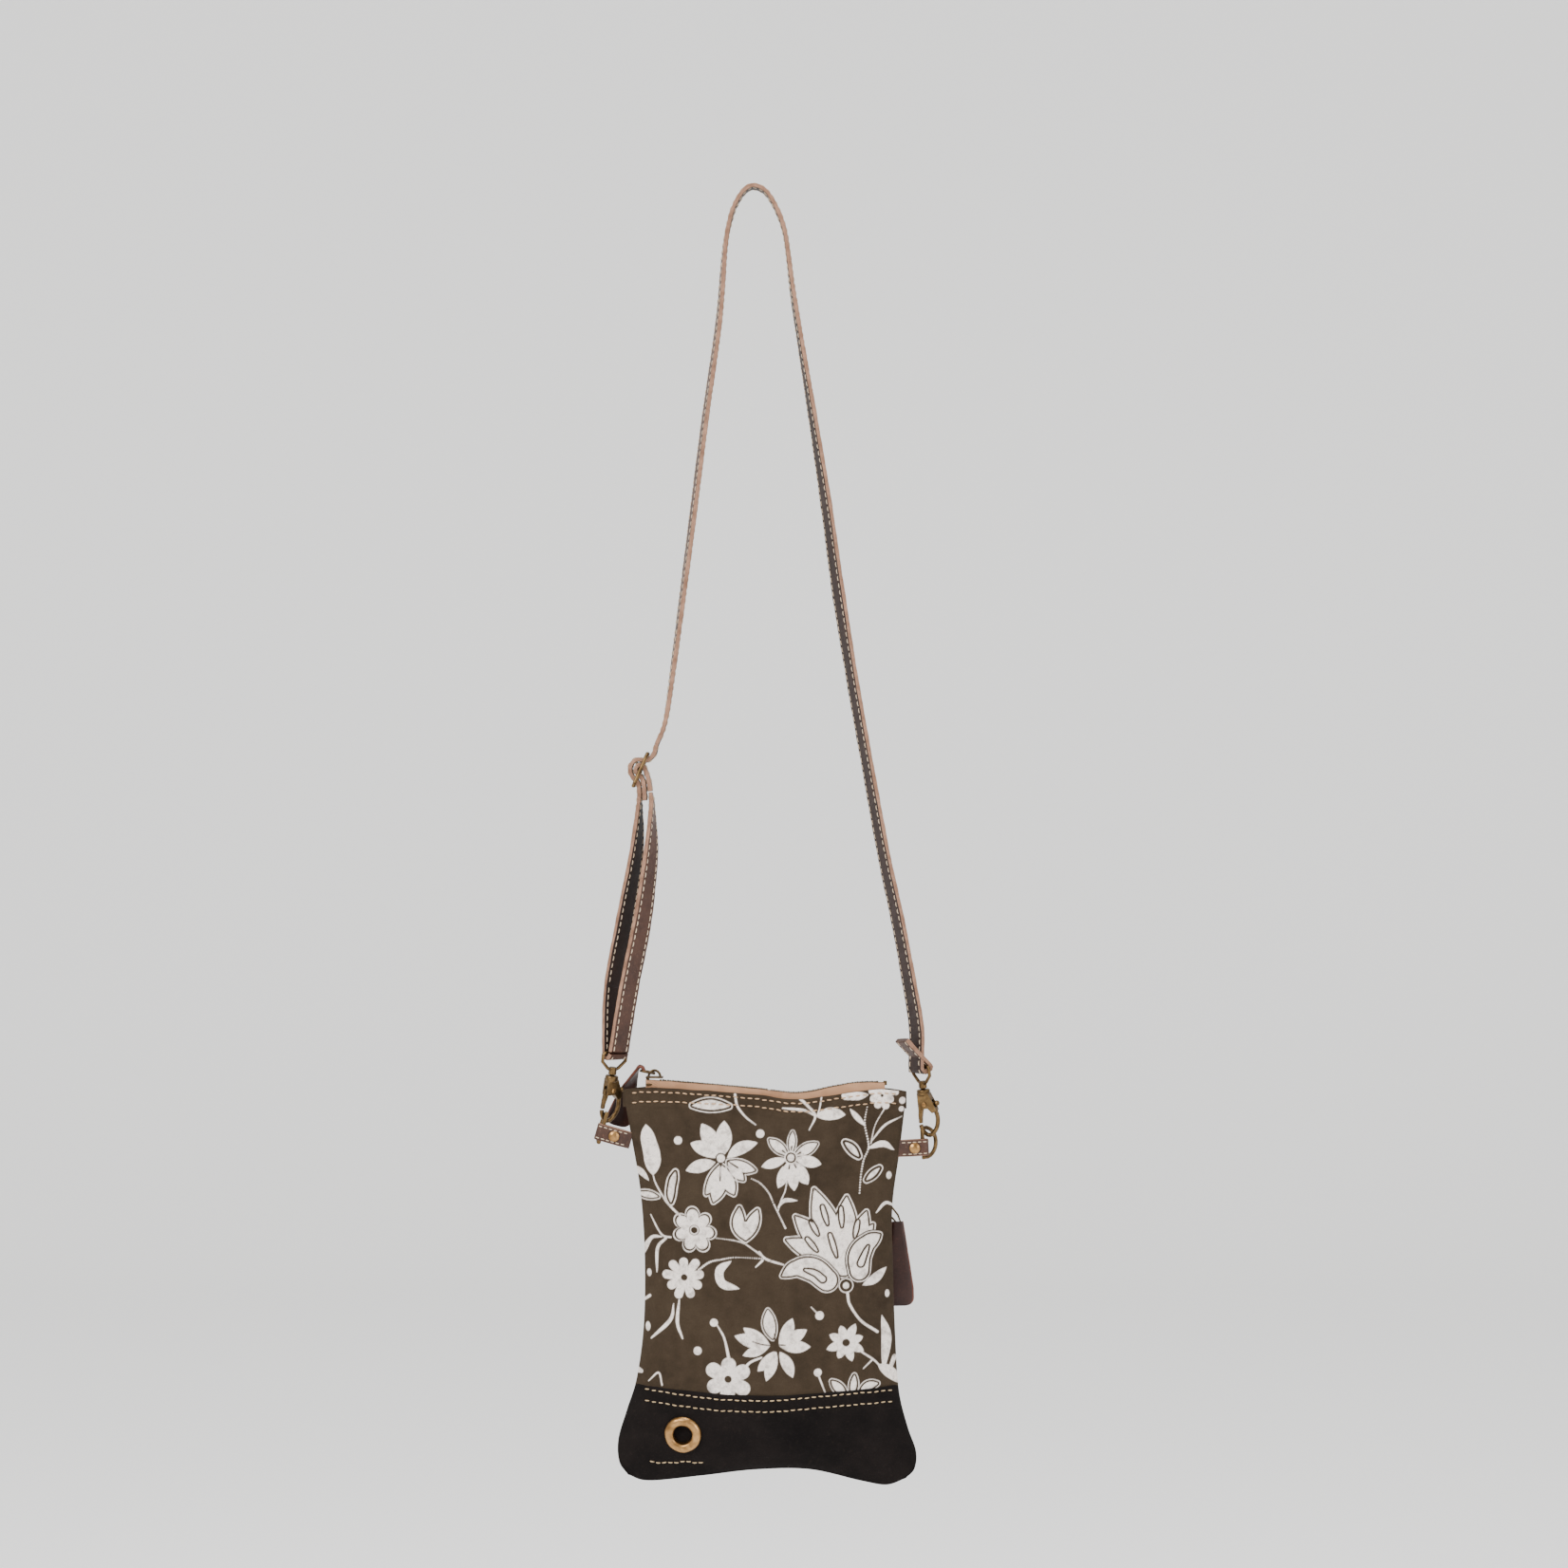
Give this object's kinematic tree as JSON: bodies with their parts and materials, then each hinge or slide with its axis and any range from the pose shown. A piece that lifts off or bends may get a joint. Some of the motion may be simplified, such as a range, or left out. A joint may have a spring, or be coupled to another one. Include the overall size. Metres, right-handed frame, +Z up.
{
  "type": "crossbody purse",
  "caption": "Small flat crossbody purse of printed canvas with a leather base band, zipped mouth, rear zip pocket and an adjustable leather strap on swivel snap hooks.",
  "frame": {"origin": "under the top of the strap's loop, where a hook or shoulder carries it", "axes": "+Z up, -Y the printed front, +X the wearer's left as seen from the front (the viewer's right)"},
  "size_m": [0.1971, 0.0408, 0.7399],
  "materials": {
    "canvas": "matte",
    "black_leather": "matte",
    "strap_leather": "satin",
    "brown_leather": "satin",
    "lining": "matte",
    "zip_tape": "matte",
    "antique_brass": "satin"
  },
  "bodies": {
    "strap": {"shoulder_strap": "strap_leather", "strap_inner_leg": "strap_leather", "left_swivel_eye": "antique_brass", "right_swivel_eye": "antique_brass"},
    "adjuster": {"strap_adjuster": "antique_brass", "strap_sewn_end": "strap_leather"},
    "left_hook": {"left_hook_body": "antique_brass", "left_gate_pin": "antique_brass"},
    "left_gate": {"left_hook_gate": "antique_brass"},
    "right_hook": {"right_hook_body": "antique_brass", "right_gate_pin": "antique_brass"},
    "right_gate": {"right_hook_gate": "antique_brass"},
    "bag": {"front_canvas_panel": "canvas", "rear_canvas_panel": "canvas", "front_base_band": "black_leather", "rear_base_band": "black_leather", "front_lining": "lining", "rear_lining": "lining", "grommet": "antique_brass", "grommet_washer": "antique_brass", "left_side_tab": "brown_leather", "left_tab_rivet": "antique_brass", "right_side_tab": "brown_leather", "right_tab_rivet": "antique_brass", "zip_end_stop": "antique_brass"},
    "left_ring": {"left_d_ring": "antique_brass"},
    "right_ring": {"right_d_ring": "antique_brass"},
    "front_zip_half": {"front_zip_tape": "zip_tape", "front_zip_teeth": "antique_brass"},
    "rear_zip_half": {"rear_zip_tape": "zip_tape", "rear_zip_teeth": "antique_brass"},
    "main_slider": {"main_zip_slider": "antique_brass"},
    "main_pull": {"main_zip_pull_ring": "antique_brass"},
    "main_puller": {"main_leather_puller": "brown_leather"},
    "pocket_upper_half": {"pocket_upper_tape": "zip_tape", "pocket_upper_teeth": "antique_brass"},
    "pocket_lower_half": {"pocket_lower_tape": "zip_tape", "pocket_lower_teeth": "antique_brass"},
    "pocket_slider": {"pocket_zip_slider": "antique_brass"},
    "pocket_pull": {"pocket_pull_wire": "antique_brass"},
    "pocket_tag": {"pocket_leather_tag": "brown_leather"}
  },
  "joints": [
    {"name": "adjuster_slide", "type": "slide", "parent": "strap", "child": "adjuster", "axis": [-0.04, 0, -0.9992], "range_m": [0, 0.08], "deforming": ["shoulder_strap", "strap_inner_leg"]},
    {"name": "left_hook_swivel", "type": "hinge", "parent": "strap", "child": "left_hook", "pos_m": [-0.08506, 0.00575, -0.53203], "axis": [0.1375, -0.1196, 0.9833], "range_deg": [-4, 0]},
    {"name": "left_gate_pivot", "type": "hinge", "parent": "left_hook", "child": "left_gate", "pos_m": [-0.08191, 0.00378, -0.51298], "axis": [-0.5784, 0.7961, 0.1777], "range_deg": [-10, 0], "stiffness_Nm_per_rad": 0.004, "springref_deg": 34.38},
    {"name": "right_hook_swivel", "type": "hinge", "parent": "strap", "child": "right_hook", "pos_m": [0.09907, 0.00431, -0.5401], "axis": [-0.112, -0.0762, 0.9908], "range_deg": [-12, 12]},
    {"name": "right_gate_pivot", "type": "hinge", "parent": "right_hook", "child": "right_gate", "pos_m": [0.09744, 0.00258, -0.52084], "axis": [0.4197, 0.9001, 0.1167], "range_deg": [-12, 0], "stiffness_Nm_per_rad": 0.004, "springref_deg": 34.38},
    {"name": "bag_swing", "type": "hinge", "parent": "strap", "child": "bag", "pos_m": [-0.08506, 0.00575, -0.52843], "axis": [0.999, -0.0078, -0.0438], "range_deg": [-15, 0]},
    {"name": "left_ring_turn", "type": "hinge", "parent": "bag", "child": "left_ring", "pos_m": [-0.08643, 0, -0.53435], "axis": [0.2729, 0, 0.962], "range_deg": [-5, 0]},
    {"name": "right_ring_turn", "type": "hinge", "parent": "bag", "child": "right_ring", "pos_m": [0.09565, 0, -0.54272], "axis": [-0.0582, 0, 0.9983], "range_deg": [-8, 8]},
    {"name": "main_zip_slide", "type": "slide", "parent": "bag", "child": "main_slider", "axis": [1, 0, 0], "range_m": [0, 0.118]},
    {"name": "main_pull_pivot", "type": "hinge", "parent": "main_slider", "child": "main_pull", "pos_m": [-0.057, 0, -0.50318], "axis": [0, 1, 0], "range_deg": [0, 30]},
    {"name": "main_puller_pivot", "type": "hinge", "parent": "main_pull", "child": "main_puller", "pos_m": [-0.0648, 0, -0.50168], "axis": [0, 1, 0], "range_deg": [0, 45]},
    {"name": "front_mouth", "type": "hinge", "parent": "bag", "child": "front_zip_half", "pos_m": [0.009, -0.0047, -0.5145], "axis": [1, 0, 0], "range_deg": [0, 35], "deforming": ["front_zip_tape", "front_zip_teeth"]},
    {"name": "rear_mouth", "type": "hinge", "parent": "bag", "child": "rear_zip_half", "pos_m": [0.009, 0.0047, -0.5145], "axis": [-1, 0, 0], "range_deg": [0, 35], "deforming": ["rear_zip_tape", "rear_zip_teeth"]},
    {"name": "pocket_zip_slide", "type": "slide", "parent": "bag", "child": "pocket_slider", "axis": [-1, 0, 0], "range_m": [0, 0.1]},
    {"name": "pocket_pull_pivot", "type": "hinge", "parent": "pocket_slider", "child": "pocket_pull", "pos_m": [0.062, 0.01607, -0.577], "axis": [0, 0, 1], "range_deg": [-5, 40]},
    {"name": "pocket_tag_pivot", "type": "hinge", "parent": "pocket_pull", "child": "pocket_tag", "pos_m": [0.0816, 0.01927, -0.5906], "axis": [0, 1, 0], "range_deg": [-25, 25]},
    {"name": "pocket_upper_part", "type": "slide", "parent": "bag", "child": "pocket_upper_half", "axis": [0, 0, 1], "range_m": [0, 0.0025], "deforming": ["pocket_upper_tape", "pocket_upper_teeth"]},
    {"name": "pocket_lower_part", "type": "slide", "parent": "bag", "child": "pocket_lower_half", "axis": [0, 0, -1], "range_m": [0, 0.0025], "deforming": ["pocket_lower_tape", "pocket_lower_teeth"]}
  ],
  "couplings": [
    {"joint": "front_mouth", "follows": "main_zip_slide", "rad_per_m": 5.1716},
    {"joint": "rear_mouth", "follows": "main_zip_slide", "rad_per_m": 5.1716},
    {"joint": "pocket_upper_part", "follows": "pocket_zip_slide", "ratio": 0.0249},
    {"joint": "pocket_lower_part", "follows": "pocket_zip_slide", "ratio": 0.0249}
  ]
}
